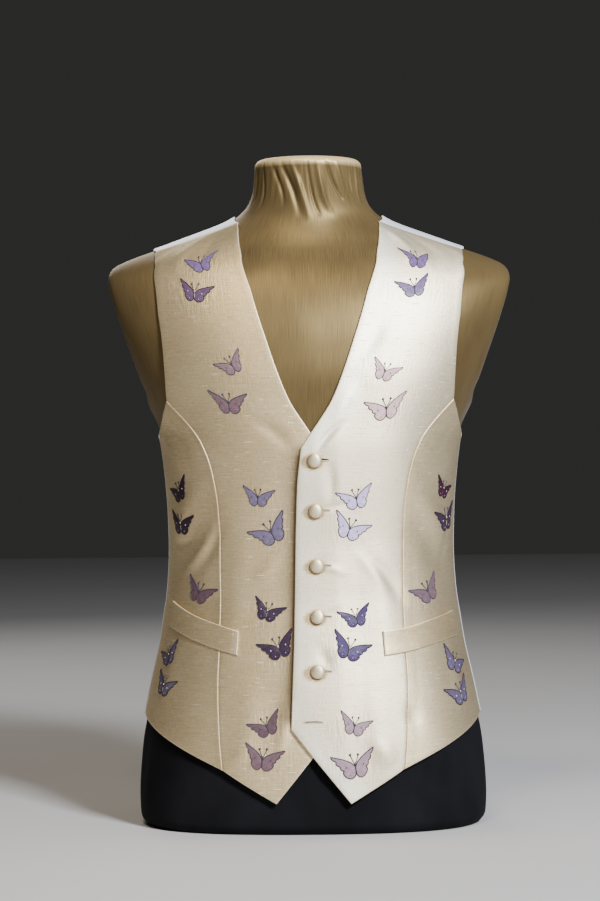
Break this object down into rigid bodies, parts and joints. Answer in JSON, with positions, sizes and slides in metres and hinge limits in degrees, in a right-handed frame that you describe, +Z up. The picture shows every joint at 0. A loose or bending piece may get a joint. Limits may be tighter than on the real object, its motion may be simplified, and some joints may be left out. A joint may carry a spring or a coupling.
{
  "type": "embroidered waistcoat on a dress form",
  "caption": "Ivory silk waistcoat with embroidered butterflies, princess seams, pocket welts and covered buttons, on a limbless satin dress form.",
  "frame": {"origin": "middle of the dress form's flat base", "axes": "+Z up the form, -Y the wearer's front, +X the wearer's left"},
  "size_m": [0.448, 0.2664, 0.7385],
  "materials": {
    "ivory_silk": "slubbed silk with a soft sheen, embroidered",
    "white_satin": "satin",
    "gold_satin": "satin over a padded form",
    "black_cloth": "smooth matt cloth"
  },
  "bodies": {
    "root": {"form_torso": "gold_satin", "form_hips": "black_cloth", "front_left_centre": "ivory_silk", "front_left_side": "ivory_silk", "front_right_centre": "ivory_silk", "front_right_side": "ivory_silk", "back_left": "white_satin", "back_right": "white_satin", "welt_left": "ivory_silk", "welt_right": "ivory_silk", "button_1": "ivory_silk", "button_2": "ivory_silk", "button_3": "ivory_silk", "button_4": "ivory_silk", "button_5": "ivory_silk"}
  },
  "joints": []
}
